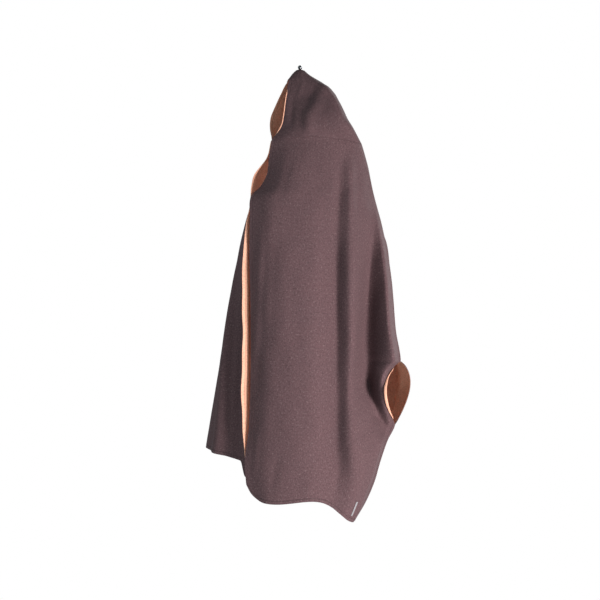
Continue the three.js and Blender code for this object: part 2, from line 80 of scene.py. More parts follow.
# Plan of each body panel at a few drops: a pair of columns for each inner line down the garment
PLANS = {
    "left_front": named("drop edgeX edgeY breastX breastY middleX middleY armX armY", [
        (223, -84, -43, -20, -74, 60, -78, 130, -52),
        (275, -91, -52, -28, -92, 62, -94, 140, -62),
        (325, -97, -62, -36, -108, 62, -108, 152, -72),
        (362, -115, -72, -46, -118, 60, -118, 158, -78),
        (392, -144, -80, -64, -126, 58, -126, 164, -82),
        (450, -147, -90, -76, -134, 54, -138, 174, -88),
        (560, -148, -94, -82, -142, 48, -152, 186, -94),
        (700, -145, -98, -84, -148, 42, -162, 196, -90),
        (880, -144, -100, -84, -152, 38, -170, 200, -92),
        (1068, -149, -102, -88, -152, 34, -172, 194, -106),
        (1180, -161, -104, -92, -150, 28, -170, 164, -114),
        (1353, -142, -104, -86, -148, 20, -166, 116, -108),
    ]),
    "back": named("drop bladeX bladeY centreX centreY wingX wingY", [
        (229, 180, 50, 150, 82, 100, 100),
        (290, 198, 66, 150, 118, 92, 134),
        (360, 214, 82, 150, 146, 80, 164),
        (450, 230, 94, 148, 168, 66, 188),
        (560, 250, 106, 144, 184, 54, 206),
        (700, 264, 118, 140, 196, 46, 220),
        (880, 272, 116, 136, 204, 38, 230),
        (1068, 255, 108, 130, 206, 34, 232),
        (1180, 214, 96, 118, 204, 32, 230),
        (1353, 160, 80, 96, 198, 28, 226),
    ]),
    "right_front": named("drop wingX wingY limbX limbY chestX chestY edgeX edgeY", [
        (223, -25, 78, -62, 44, -76, 14, -81, -22),
        (275, -34, 100, -76, 62, -90, 22, -95, -20),
        (325, -48, 120, -98, 76, -115, 30, -130, -31),
        (362, -60, 134, -110, 78, -123, 22, -139, -50),
        (392, -72, 144, -128, 80, -134, 6, -142, -64),
        (450, -92, 160, -150, 82, -158, 0, -148, -70),
        (560, -120, 184, -180, 88, -180, 2, -152, -76),
        (700, -148, 204, -208, 92, -198, -2, -151, -76),
        (880, -172, 222, -240, 96, -218, -4, -151, -76),
        (1068, -186, 230, -270, 100, -238, -4, -154, -78),
        (1180, -188, 232, -288, 102, -250, -4, -158, -80),
        (1353, -184, 230, -300, 102, -256, -4, -160, -80),
    ]),
}

# Hem drop across each panel, in the order of its lines
HEMS = {
    "left_front": named("at drop", [
        (0, 1240), (0.03, 1264), (0.08, 1281), (0.14, 1290), (0.25, 1292), (0.45, 1283), (0.54, 1286),
        (0.63, 1301), (0.72, 1322), (0.84, 1343), (1, 1355)]),
    "back": named("at drop", [
        (0, 1355), (0.2, 1296), (0.45, 1240), (0.7, 1228), (0.88, 1246), (1, 1264)]),
    "right_front": named("at drop", [
        (0, 1264), (0.13, 1226), (0.3, 1172), (0.5, 1148), (0.68, 1150), (0.85, 1162), (1, 1178)]),
}

# The right front's lower corner hangs below its hem, coming in between two shares of the width
CORNER_HANG = 42
CORNER_REACH = (0.955, 0.995)

# Hanging folds. The centre runs from its place at the top to its place at the foot, as x on the
# left front and as a share of the panel's width elsewhere. rise is how far the fold stands out,
# a trough having a negative rise; before and after are its half widths on either side.
FOLD_COLUMNS = "top_at foot_at start foot rise before after"
NO_FOOT = 1420
FOLDS = {
    "left_front": named(FOLD_COLUMNS, [
        (-112, -132, 430, 900, 4, 20, 20),
        (-88, -120, 440, 1000, -6, 26, 44),
        (90, 94, 290, 1290, -16, 56, 60),
        (150, 154, 280, 1290, 32, 50, 56),
        (240, 166, 330, 1060, -30, 40, 90),
        (206, 258, 890, 1120, -25, 44, 46),
        (270, 280, 340, 966, 84, 92, 26),
        (270, 136, 1030, NO_FOOT, 44, 104, 22),
    ]),
    "back": named(FOLD_COLUMNS, [
        (0.1, 0.12, 520, 1250, -8, 0.08, 0.08),
        (0.25, 0.24, 330, NO_FOOT, 20, 0.09, 0.07),
        (0.36, 0.37, 380, NO_FOOT, -22, 0.07, 0.07),
        (0.5, 0.5, 300, NO_FOOT, 24, 0.09, 0.08),
        (0.62, 0.64, 400, NO_FOOT, -24, 0.07, 0.08),
        (0.75, 0.77, 340, NO_FOOT, 20, 0.08, 0.07),
        (0.88, 0.89, 460, NO_FOOT, -16, 0.06, 0.07),
    ]),
    "right_front": named(FOLD_COLUMNS, [
        (0.2, 0.19, 420, NO_FOOT, -20, 0.08, 0.09),
        (0.34, 0.34, 380, NO_FOOT, 20, 0.1, 0.1),
        (0.48, 0.5, 440, NO_FOOT, -16, 0.08, 0.09),
        (0.77, 0.77, 480, NO_FOOT, 12, 0.08, 0.09),
    ]),
}
FOLD_RISEN = 0.35
FOLD_WANES = 0.82

# Creases, drags and the swell beside the near hand slit, each a stroke from one place to another
# on its panel. across is x on the left front and on the hood's left half, and millimetres from
# the first line elsewhere; a trough has a negative rise.
CREASE_COLUMNS = "across drop to_across to_drop rise width"
CREASES = {
    "left_front": named(CREASE_COLUMNS, [
        (-20, 262, -62, 420, -2.2, 20),
        (40, 250, 60, 400, -1.6, 22),
        (96, 300, 84, 520, 2.0, 24),
        (-40, 520, -52, 900, 1.6, 26),
        (-10, 640, 6, 1120, -1.4, 30),
        (52, 560, 66, 980, 1.2, 24),
        (190, 420, 178, 700, -1.8, 18),
        (312, 830, 300, 1130, 34, 66),
        (206, 1030, 262, 1060, -3.2, 13),
        (150, 1120, 236, 1084, 2.4, 18),
        (176, 1190, 224, 1128, -2.2, 14),
        (110, 1180, 96, 1300, -2.0, 20),
        (20, 1190, 30, 1290, 1.8, 24),
        (-60, 1130, -84, 1270, -2.0, 20),
        (-120, 1060, -136, 1230, 1.6, 14),
        (118, 236, 111, 520, -8, 22),
        (150, 236, 150, 520, 12, 22),
        (112, 380, 104, 1000, -4, 24),
        (150, 380, 150, 1000, 6, 24),
        (-110, 400, -134, 960, -2.4, 20),
        (-86, 410, -122, 1040, 3, 30),
        (190, 240, 214, 330, -2.4, 16),
    ]),
    "back": named(CREASE_COLUMNS, [
        (118, 520, 118, 920, -18, 78), (60, 300, 40, 480, -3, 22),
        (150, 290, 166, 470, -2.4, 26), (250, 300, 240, 520, 2.6, 24),
        (330, 280, 352, 460, -3, 22), (450, 300, 470, 520, -2.6, 22), (110, 620, 96, 930, 2.6, 20),
        (210, 560, 222, 900, -2.2, 18), (300, 660, 288, 1040, 2.4, 24), (410, 600, 424, 980, 2.2, 20),
        (500, 700, 512, 1100, -2.6, 20), (30, 900, 96, 872, -3.4, 14), (28, 1046, 110, 1084, -3.2, 14),
        (520, 892, 452, 866, -3.2, 14), (524, 1050, 446, 1090, -3, 14), (180, 1090, 196, 1290, -2.4, 20),
        (350, 1060, 338, 1220, 2.6, 22), (90, 1150, 60, 1290, 2.4, 20),
    ]),
    "right_front": named(CREASE_COLUMNS, [
        (316, 620, 324, 1240, 9, 30), (368, 620, 374, 1240, -6, 24),
        (60, 280, 44, 450, -2.6, 22), (130, 270, 150, 440, 2.4, 22), (216, 260, 236, 400, -2, 18),
        (30, 892, 98, 868, -3.2, 14), (30, 1050, 104, 1086, -3, 14), (120, 640, 112, 980, 2.4, 22),
        (190, 560, 182, 900, -2.2, 20), (262, 620, 256, 1000, 1.8, 20), (330, 500, 322, 820, -1.6, 18),
        (176, 980, 190, 1130, -2, 18), (290, 940, 300, 1140, 1.8, 18), (372, 620, 366, 960, -1.2, 16),
    ]),
}

# The same for the hood
HOOD_CREASES = {
    "hood_left": named(CREASE_COLUMNS, [
        (80, 50, 28, 168, 9, 30), (26, 124, 28, 236, 8, 26), (-22, 84, -28, 196, -2.6, 16),
        (70, 150, 92, 216, -2.4, 16), (104, 110, 128, 204, 2.2, 14), (-40, 206, 22, 222, -2.4, 11),
        (10, 40, -8, 104, 1.6, 10),
    ]),
    "hood_right": named(CREASE_COLUMNS, [
        (60, 60, 40, 180, -2.2, 14), (120, 40, 110, 150, 2.0, 16), (150, 110, 176, 200, -1.8, 12),
    ]),
}
HOOD_WIDTH = 200
CREASE_TAPER = 0.6

# How far each edge of a hand slit bows out of the line of the side seam, as the side it is on
# (0 for the panel's first line, 1 for its last), x and y
SLIT_BOWS = {
    "left_front": (1, -38, -54),
    "left_back": (0, 36, 48),
    "right_back": (1, 16, 22),
    "right_front": (0, -34, 0),
}
SLIT_BOW_REACH = 0.27
BOW_LEAN = 0.75
SEWN_FADE = 0.06
TANGENT_STEP = 0.01

# How far the right front's edge is turned, in degrees, and its length past the bend
BEND_LENGTH = 14
TURN_ROWS = named("drop angle leg", [
    (223, 0, 1), (410, 0, 1.5), (440, 35, 2), (470, 80, 3), (500, 98, 5), (560, 100, 10), (640, 100, 14),
    (790, 100, 18), (910, 100, 20), (1000, 100, 20), (1090, 98, 16), (1150, 85, 10), (1182, 70, 5),
])
BEND_STEPS = 8
LEG_STEPS = 8
# The columns that set its heading, and waves of degrees down the edge, which start at the first
# of two angles and are full at the second
HEADING_COLUMNS = 10
WANDER_ROWS = named("rise wave phase", [(5, 47, 0), (4, 19, 1)])
WANDER_BETWEEN = (60, 95)

# Hood halves: rows from the peak past the brow to the neck, three columns for each line down
BROW_ROW = 2
HOODS = {
    "hood_left": named("frontX frontY frontDrop crestX crestY crestDrop "
                       "rearX rearY rearDrop seamX seamY seamDrop", [
        (-11, 10, 8, -1, 6.7, 7, 6, 6.9, 8, 13, 10, 9),
        (-22, 7, 19, 2, -6, 20, 20, -3, 21, 36, 14, 28),
        (-31, 0, 32, 8, -20, 42, 44, -20, 42, 71, 20, 47),
        (-36, -10, 55, 26, -34, 68, 76, -44, 66, 102, 30, 73),
        (-42, -20, 84, 54, -52, 98, 98, -64, 96, 117, 38, 98),
        (-46, -26, 112, 42, -66, 128, 112, -74, 126, 131, 46, 126),
        (-50, -30, 145, 28, -74, 160, 124, -80, 156, 143, 56, 156),
        (-58, -35, 180, 30, -78, 190, 146, -68, 188, 151, 68, 192),
        (-84, -43, 223, 45, -78, 215, 170, -14, 227, 150, 82, 231),
    ]),
    "hood_right": named("seamX seamY seamDrop rearX rearY rearDrop "
                        "domeX domeY domeDrop frontX frontY frontDrop", [
        (13, 10, 9, 7, 13, 8, -1, 13.3, 7, -11, 10, 8),
        (36, 14, 28, 22, 30, 24, 4, 34, 21, -22, 7, 19),
        (71, 20, 47, 48, 50, 44, 10, 52, 42, -31, 0, 32),
        (102, 30, 73, 70, 66, 70, 18, 70, 68, -48, 6, 57),
        (117, 38, 98, 88, 78, 98, 22, 84, 98, -63, 18, 86),
        (131, 46, 126, 98, 88, 126, 24, 94, 128, -77, 28, 114),
        (143, 56, 156, 106, 96, 156, 24, 100, 160, -91, 36, 147),
        (151, 68, 192, 106, 100, 192, 16, 98, 192, -92, 26, 182),
        (150, 82, 231, 100, 100, 230, -25, 78, 225, -81, -22, 223),
    ]),
}

# Points inside the body and the hood from which their seams face outwards
BODY_HEART = np.array([40.0, 40.0, 0.0])
HOOD_HEART = np.array([20.0, 24.0, -150.0])

# Small bare tab near the hem's corner
LABEL = {"width": 9, "height": 41, "thickness": 0.8, "inset": 64, "top": 1288, "panel_width": 480}

# Open edges that curl outwards: side (0 for the first column, -1 for the last), radius, degrees
# and the straight leg after the arc
ROLLS = {
    "left_front": [(-1, 3.4, 195, 3.5)],
    "back": [(0, 3.0, 50, 0), (-1, 3.0, 50, 0)],
    "right_front": [(0, 3.0, 60, 0)],
    "hood_left": [(0, 1.8, 150, 0.5)],
    "hood_right": [(-1, 2.6, 40, 0)],
}
# Where a roll starts, in radii from the edge, the columns that set its heading, and how soon its
# weight is full
ROLL_START = 1.35
ROLL_HEADING = 3
ROLL_ONSET = 3
# How far inside a slit its seam has ended, and its roll is full
SEAM_ENDS = 22
ROLL_FULL = 46
# Rows of the hood between which its front edge starts to roll, counted from the brow; rows from
# the peak between which that roll ends; rows from the brow between which the brow's seam ends
HOOD_ROLL_STARTS = {"hood_left": (1.2, 2.2), "hood_right": (0.2, 1.2)}
HOOD_ROLL_ENDS = (7.2, 7.9)
BROW_SEAM_ENDS = (-0.05, 0.5)

# Slow, shallow unevenness of the cloth: waves of a hand's breadth, calm near seams and neck
SETTLE_SEED = 11
SETTLE_WAVES = 7
SETTLE_ACROSS = (70, 190)
SETTLE_DOWN = (160, 420)
SETTLE_LEAN = 0.5
SETTLE_PHASE = 6.3
SETTLE_SPREAD = 2.2
CALM_SIDE = 60
CALM_TOP = 90

# Grid steps
ROWS_ABOVE, ROWS_SLIT, ROWS_BELOW = 84, 56, 40
HEM_CROWDING = 1.4
PANEL_CROWDING, HOOD_CROWDING = 0.62, 0.5
FINE_STEPS, FINE_STRIP = 14, 9
HOOD_ACROSS, HOOD_DOWN = 72, 96
HOOD_SEWN = 0.1
LABEL_ACROSS, LABEL_DOWN = 12, 48

# Curves, worked out for a whole grid of places at once. A field of points is an array of
# shape (3, rows, columns).


def smoothstep(low, high, value):
    """0 below low, 1 above high, and a smooth rise between."""
    t = np.clip((value - low) / (high - low), 0, 1)
    return t * t * (3 - 2 * t)


def bell(t):
    """1 at 0, falling smoothly to 0 at -1 and 1."""
    return np.where(np.abs(t) < 1, 0.5 + 0.5 * np.cos(np.pi * np.clip(t, -1, 1)), 0)


def size(vectors):
    return np.sqrt((vectors * vectors).sum(0))


def unit(vectors):
    return vectors / np.maximum(size(vectors), 1e-9)


def cross(a, b):
    return np.cross(a, b, axisa=0, axisb=0, axisc=0)


def curve(knots, values, at):
    """Smooth curve through values at increasing knots."""
    last = len(knots) - 1

    def slope(k):
        low, high = max(k - 1, 0), min(k + 1, last)
        return (values[high] - values[low]) / (knots[high] - knots[low])

    result = None
    for i in range(last):
        span = knots[i + 1] - knots[i]
        t = np.clip((at - knots[i]) / span, 0, 1)
        t2, t3 = t * t, t * t * t
        piece = ((2 * t3 - 3 * t2 + 1) * values[i] + (t3 - 2 * t2 + t) * span * slope(i)
                 + (3 * t2 - 2 * t3) * values[i + 1] + (t3 - t2) * span * slope(i + 1))
        result = piece if result is None else np.where(at > knots[i], piece, result)
    return result


def along(points, share):
    """Smooth curve through fields of points, read by its share of the straight lengths between."""
    knots = [np.zeros_like(size(points[0]))]
    for before, after in zip(points, points[1:]):
        knots.append(knots[-1] + size(after - before))
    return curve(knots, points, share * knots[-1])


# The neck seam, shared by the hood and the body
NECK_POINTS = [np.array([x, y, -drop]).reshape(3, 1, 1)
               for x, y, drop in zip(NECK["x"], NECK["y"], NECK["drop"])]


def neck_share(name):
    steps = [float(size(b - a)[0, 0]) for a, b in zip(NECK_POINTS, NECK_POINTS[1:])]
    return sum(steps[:NECK_NAMES.index(name)]) / sum(steps)


LEFT_SHOULDER = neck_share("left_shoulder")
NAPE = neck_share("nape")
RIGHT_SHOULDER = neck_share("right_shoulder")

PANELS = {
    "left_front": {"lines": "edge breast middle arm leftSide".split(), "neck": (0, LEFT_SHOULDER),
                   "bows": ["left_front"], "by_x": True, "columns": 150, "width": 480},
    "back": {"lines": "leftSide blade centre wing rightSide".split(), "neck": (LEFT_SHOULDER, RIGHT_SHOULDER),
             "bows": ["left_back", "right_back"], "by_x": False, "columns": 170, "width": 560},
    "right_front": {"lines": "rightSide wing limb chest edge".split(), "neck": (RIGHT_SHOULDER, 1),
                    "bows": ["right_front"], "by_x": False, "columns": 124, "width": 400},
}
HOOD_LINES = {
    "hood_left": ("front crest rear seam".split(), (0, NAPE)),
    "hood_right": ("seam rear dome front".split(), (NAPE, 1)),
}


def neck_point(span, u):
    return along(NECK_POINTS, span[0] + (span[1] - span[0]) * u)


def plan_point(name, drop, u):
    """A point of a panel's plan, before its folds, with no height."""
    fields = []
    for line in PANELS[name]["lines"]:
        rows = SIDES.get(line, PLANS[name])
        x, y = ("x", "y") if line in SIDES else (line + "X", line + "Y")
        flat = [curve(rows["drop"], rows[key], drop) for key in (x, y)]
        fields.append(np.stack([*flat, np.zeros_like(flat[0])]))
    return along(fields, u)


def fold_rise(folds, at, drop):
    total = 0
    for top_at, foot_at, start, foot, rise, before, after in zip(*folds.values()):
        down = np.clip((drop - start) / (foot - start), 0, 1)
        centre = top_at + (foot_at - top_at) * down
        width = np.where(at < centre, before, after)
        fade = smoothstep(0, FOLD_RISEN, down) * (1 - smoothstep(FOLD_WANES, 1, down) * (foot < NO_FOOT))
        total = total + rise * fade * bell((at - centre) / width)
    return total


def crease_rise(creases, across, drop):
    """Soft strokes: each fades across its width and towards both of its ends."""
    total = 0
    for a, d, to_a, to_d, rise, width in zip(*creases.values()):
        length = math.hypot(to_a - a, to_d - d)
        along_a, along_d = (to_a - a) / length, (to_d - d) / length
        ahead = ((across - a) * along_a + (drop - d) * along_d) / length
        aside = (across - a) * along_d - (drop - d) * along_a
        total = total + rise * bell(aside / width) * bell(2 * ahead - 1) ** CREASE_TAPER
    return total


def slit_bow(drop):
    """How far a slit's edges bow along x: 0 at both its ends and 1 a little above its middle."""
    down = np.clip((drop - SLIT_TOP) / (SLIT_FOOT - SLIT_TOP), 0, 1)
    return np.sin(np.pi * down ** BOW_LEAN)


def slit_swell(drop):
    """1 at the middle of a slit, falling to 0 at its ends."""
    return bell((2 * drop - SLIT_TOP - SLIT_FOOT) / (SLIT_FOOT - SLIT_TOP))


def body_point(name, u, drop):
    """A point of a panel's inner face: u from its first line to its last, drop below the peg."""
    panel = PANELS[name]
    flat = plan_point(name, drop, u)
    sewn = 1
    for bow in panel["bows"]:
        sewn = sewn * smoothstep(0, SEWN_FADE, np.abs(u - SLIT_BOWS[bow][0]))
    across = flat[0] if panel["by_x"] else u * panel["width"]
    # Folds fade all along a side line, and creases only where it is sewn
    held = 1 - (1 - sewn) * (1 - slit_swell(drop))
    rise = (sewn * fold_rise(FOLDS[name], flat[0] if panel["by_x"] else u, drop)
            + held * crease_rise(CREASES[name], across, drop))
    if panel["by_x"]:
        flat[1] -= rise
    else:
        before = plan_point(name, drop, np.maximum(u - TANGENT_STEP, 0))
        after = plan_point(name, drop, np.minimum(u + TANGENT_STEP, 1))
        flat += rise * unit(np.stack([after[1] - before[1], before[0] - after[0], np.zeros_like(rise)]))
    for bow in panel["bows"]:
        at_side, x, y = SLIT_BOWS[bow]
        near = 1 - smoothstep(0, SLIT_BOW_REACH, np.abs(u - at_side))
        flat[0] += x * near * slit_bow(drop)
        flat[1] += y * near * slit_swell(drop)
    flat[2] = -drop
    seam = neck_point(panel["neck"], u)
    top = plan_point(name, -seam[2], u)
    pull = 1 - smoothstep(-seam[2], -seam[2] + NECK_BLEND, drop)
    flat[:2] += (seam[:2] - top[:2]) * pull
    return flat


def gathered(count, crowding, fine=(), strip=0.02):
    """Shares from 0 to 1, closer together towards both ends, and closest along rolled edges."""
    t = np.linspace(0, 1, count + 1)
    shares = t - crowding * np.sin(2 * np.pi * t) / (2 * np.pi)
    extra = [abs(side - np.linspace(0, strip, FINE_STEPS + 1)) for side in fine]
    kept = [share for share in shares if not any(abs(share - side) < strip for side in fine)]
    return np.sort(np.concatenate([kept, *extra]))


def body_grid(name):
    panel = PANELS[name]
    fine = [SLIT_BOWS[bow][0] for bow in panel["bows"]]
    u = gathered(panel["columns"], PANEL_CROWDING, fine, FINE_STRIP / panel["width"])[None, :]
    top = -neck_point(panel["neck"], u)[2] + SEAM_GAP / 2
    foot = curve(HEMS[name]["at"], HEMS[name]["drop"], u)
    if name == "right_front":
        foot = foot + CORNER_HANG * smoothstep(*CORNER_REACH, u)
    above, inside, below = [np.linspace(0, 1, rows + 1)[:, None]
                            for rows in (ROWS_ABOVE, ROWS_SLIT, ROWS_BELOW)]
    drops = np.concatenate([
        top + (SLIT_TOP - top) * above[:-1],
        SLIT_TOP + (SLIT_FOOT - SLIT_TOP) * inside[:-1] + 0 * u,
        SLIT_FOOT + (foot - SLIT_FOOT) * (1 - (1 - below) ** HEM_CROWDING),
    ])
    return body_point(name, np.broadcast_to(u, drops.shape), drops)


def hood_value(name, line, column, row):
    values = HOODS[name][line + column]
    knots = np.arange(len(values), dtype=float)
    if line != "front":
        return curve(knots, values, row)
    peak = curve(knots[:BROW_ROW + 1], values[:BROW_ROW + 1], row)
    face = curve(knots[BROW_ROW:], values[BROW_ROW:], row)
    return np.where(row <= BROW_ROW, peak, face)


def hood_grid(name):
    lines, neck = HOOD_LINES[name]
    last = len(HOODS[name]["seamX"]) - 1
    fine = [0 if lines[0] == "front" else 1]
    u = gathered(HOOD_ACROSS, HOOD_CROWDING, fine, FINE_STRIP / HOOD_WIDTH)
    u, row = np.meshgrid(u, np.linspace(0, last, HOOD_DOWN + 1))

    def surface(row):
        return along([np.stack([hood_value(name, line, "X", row), hood_value(name, line, "Y", row),
                                -hood_value(name, line, "Drop", row)]) for line in lines], u)

    seam = neck_point(neck, u)
    seam[2] += SEAM_GAP / 2
    field = surface(row) + (seam - surface(np.full_like(row, last))) * smoothstep(last - 2, last, row)
    sewn = smoothstep(0, HOOD_SEWN, u) * smoothstep(0, HOOD_SEWN, 1 - u)
    sewn *= smoothstep(0, 1, row) * smoothstep(0, 1, last - row)
    across = field[0] if name == "hood_left" else u * HOOD_WIDTH
    rise = crease_rise(HOOD_CREASES[name], across, -field[2]) * sewn
    return field + outward(field) * rise


def steps_of(field, axis):
    """Central differences along rows (axis 1) or columns (axis 2), one-sided at the ends."""
    count = field.shape[axis]
    places = np.arange(count)
    after = np.take(field, np.minimum(places + 1, count - 1), axis)
    return after - np.take(field, np.maximum(places - 1, 0), axis)


def outward(field):
    """Directions square to the cloth, out of the garment."""
    return unit(cross(steps_of(field, 1), steps_of(field, 2)))


def lengths(field, axis):
    """Distance travelled along each row or column, from its first point."""
    moved = size(np.diff(field, axis=axis))
    return np.insert(np.cumsum(moved, axis - 1), 0, 0, axis - 1)


SEAM_DIP = 0.9
SEAM_REACH = 14


def sew(field, facing, side, heart, level=True, weight=None):
    """A sewn edge: the two pieces face the same way there, each keeps half of the seam's gap,
    and the cloth dips a little into the seam. side is 0 for the first column, -1 for the last.
    level keeps the facing level in every row, and otherwise only the last row has it so."""
    weight = np.ones(field.shape[1]) if weight is None else weight
    edge = field[:, :, side].copy()
    away = edge - heart[:, None]
    if level:
        away[2] = 0
    else:
        away[2, -1] = 0
    away = unit(away)
    travel = steps_of(edge[:, :, None], 1)[:, :, 0]
    aside = unit(cross(travel, away))
    neighbour = field[:, :, 1 if side == 0 else -2]
    aside *= np.where((aside * (neighbour - edge)).sum(0) < 0, -1, 1)
    field[:, :, side] += aside * SEAM_GAP / 2 * weight
    distance = lengths(field, 2)
    distance = distance if side == 0 else distance[:, -1:] - distance
    near = (1 - smoothstep(0, SEAM_REACH, distance)) * weight[:, None]
    field -= away[:, :, None] * SEAM_DIP * near ** 2
    facing[:] = unit(facing * (1 - near) + away[:, :, None] * near)


def roll(field, side, radius, degrees, leg, weight):
    """Curls an open edge outwards on an arc with a straight leg after it. weight says how much
    of it each row takes. side is 0 for the first column, -1 for the last."""
    facing = outward(field)
    flipped = field[:, :, ::-1] if side == -1 else field
    facing = facing[:, :, ::-1] if side == -1 else facing
    distance = lengths(flipped, 2)
    rows = np.arange(field.shape[1])
    start = (distance < ROLL_START * radius).sum(1)
    base = flipped[:, rows, start][:, :, None]
    ahead = unit(base - flipped[:, rows, start + ROLL_HEADING][:, :, None])
    out = facing[:, rows, start][:, :, None]
    full = np.radians(degrees * weight)[:, None]
    share = 1 - distance / distance[rows, start][:, None]
    travel = np.clip(share, 0, 1) * (radius * full + leg * weight[:, None])
    angle = np.minimum(travel / radius, full)
    past = travel - radius * angle
    rolled = base + ahead * (radius * np.sin(angle) + past * np.cos(angle)) \
        + out * (radius * (1 - np.cos(angle)) + past * np.sin(angle))
    blend = np.where(share > 0, np.minimum(weight * ROLL_ONSET, 1)[:, None], 0)
    flipped += (rolled - flipped) * blend


def turn(field):
    """Bends the right front's edge outwards, so that its inner face shows in a strip."""
    edge = field[:, :, -1]
    drop = -edge[2]
    forward = edge - field[:, :, -HEADING_COLUMNS]
    forward[2] = 0
    forward = unit(forward)
    out = np.stack([forward[1], -forward[0], np.zeros_like(drop)])
    wander = sum(rise * np.sin(drop / wave + phase) for rise, wave, phase in zip(*WANDER_ROWS.values()))
    degrees = np.maximum(curve(TURN_ROWS["drop"], TURN_ROWS["angle"], drop), 1)
    degrees = degrees + wander * smoothstep(*WANDER_BETWEEN, degrees)
    angle = np.radians(degrees)
    leg = curve(TURN_ROWS["drop"], TURN_ROWS["leg"], drop)
    radius = BEND_LENGTH / angle
    strips = [(angle * i / BEND_STEPS, 0) for i in range(1, BEND_STEPS + 1)]
    strips += [(angle, leg * i / LEG_STEPS) for i in range(1, LEG_STEPS + 1)]
    added = [edge + forward * (radius * np.sin(bent) + reach * np.cos(bent))
             + out * (radius * (1 - np.cos(bent)) + reach * np.sin(bent)) for bent, reach in strips]
    return np.concatenate([field, np.stack(added, 2)], 2)


# Meshes

def only(piece):
    bpy.ops.object.select_all(action="DESELECT")
    piece.select_set(True)
    bpy.context.view_layer.objects.active = piece


def finish_modifier(piece, kind, **settings):
    only(piece)
    modifier = piece.modifiers.new(kind.lower(), kind)
    for key, value in settings.items():
        setattr(modifier, key, value)
    bpy.ops.object.modifier_apply(modifier=modifier.name)


def in_metres(field):
    """Points of a field as rows of x, y, z in metres, in the frame of the wall."""
    return (field.reshape(3, -1).T - [0, REACH, 0]) * METRE


RIM_BEVEL = 0.6
LABEL_BEVEL = 0.25
BEVEL_ANGLE = math.radians(55)
FAR_FROM_EDGE = 1000.0


def edge_distance(field, sewn):
    """Distance to the nearest open edge. sewn says how far each row is sewn at its first column
    and at its last, and how far the last row is."""
    across, down = lengths(field, 2), lengths(field, 1)
    first = across + sewn[0][:, None] * FAR_FROM_EDGE
    last = across[:, -1:] - across + sewn[1][:, None] * FAR_FROM_EDGE
    return np.minimum(np.minimum(first, last), down[-1:] - down + sewn[2] * FAR_FROM_EDGE)


def coordinates(mesh):
    flat = np.empty(len(mesh.vertices) * 3)
    mesh.vertices.foreach_get("co", flat)
    return flat.reshape(-1, 3)


def mean_gap(some, others):
    return np.linalg.norm(some - others, axis=1).mean()


def wall(name, field, facing, materials, edge=None, thickness=CLOTH, lift=0.0, inner_rims=(),
         bevel=RIM_BEVEL):
    """A wall of cloth: a grid laid on the field, thickened outwards, its rims rounded."""
    rows, columns = field.shape[1:]
    bpy.ops.object.select_all(action="DESELECT")
    bpy.ops.mesh.primitive_grid_add(x_subdivisions=columns - 1, y_subdivisions=rows - 1, size=1)
    piece = bpy.context.object
    piece.name = piece.data.name = name
    mesh = piece.data
    flat = coordinates(mesh)
    column = np.rint((flat[:, 0] + 0.5) * (columns - 1)).astype(int)
    row = np.rint((0.5 - flat[:, 1]) * (rows - 1)).astype(int)
    place = row * columns + column
    inner = in_metres(field + facing * lift)[place]
    outer = in_metres(field + facing * (lift + thickness))[place]
    mesh.vertices.foreach_set("co", inner.ravel())

    corners = np.empty(len(mesh.loops), dtype=int)
    mesh.loops.foreach_get("vertex_index", corners)
    weave = np.stack([lengths(field, 2).ravel()[place], -lengths(field, 1).ravel()[place]], 1) * METRE
    layer = mesh.uv_layers[0] if mesh.uv_layers else mesh.uv_layers.new()
    layer.name = "weave"
    layer.data.foreach_set("uv", weave[corners].ravel())
    edge = np.full(field.shape[1:], FAR_FROM_EDGE) if edge is None else edge
    mesh.attributes.new("edge", "FLOAT", "POINT").data.foreach_set("value", edge.ravel()[place] * METRE)

    for material in materials:
        mesh.materials.append(material)
    count = len(mesh.vertices)
    finish_modifier(piece, "SOLIDIFY", thickness=thickness * METRE, offset=1, use_even_offset=False,
                    use_rim=True, material_offset=0, material_offset_rim=0)
    shell = coordinates(mesh)
    moved = mean_gap(shell[:count], inner) > mean_gap(shell[count:], inner)
    shell[:count], shell[count:] = (outer, inner) if moved else (inner, outer)
    mesh.vertices.foreach_set("co", shell.ravel())

    # The outer face takes the first material, the inner face the second. A rim takes the first,
    # or the second where the edge is one that shows the inner cloth.
    is_inner = np.zeros(len(shell), bool)
    is_inner[(count if moved else 0):(2 * count if moved else count)] = True
    slots = np.zeros(len(mesh.polygons), dtype=int)
    columns_of = np.concatenate([column, column])
    for polygon in mesh.polygons:
        sides = is_inner[list(polygon.vertices)]
        if sides.all():
            slots[polygon.index] = 1
        elif sides.any():
            at = columns_of[list(polygon.vertices)]
            slots[polygon.index] = int(any((at == rim % columns).all() for rim in inner_rims))
    if len(materials) > 1:
        mesh.polygons.foreach_set("material_index", slots)
    mesh.update()
    finish_modifier(piece, "BEVEL", width=bevel * METRE, segments=2, limit_method="ANGLE",
                    angle_limit=BEVEL_ANGLE, loop_slide=False, use_clamp_overlap=True)
    only(piece)
    bpy.ops.object.shade_smooth()
    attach(piece, "root")
    return piece


# Materials. Value wraps a socket, and sums on it add Math nodes.

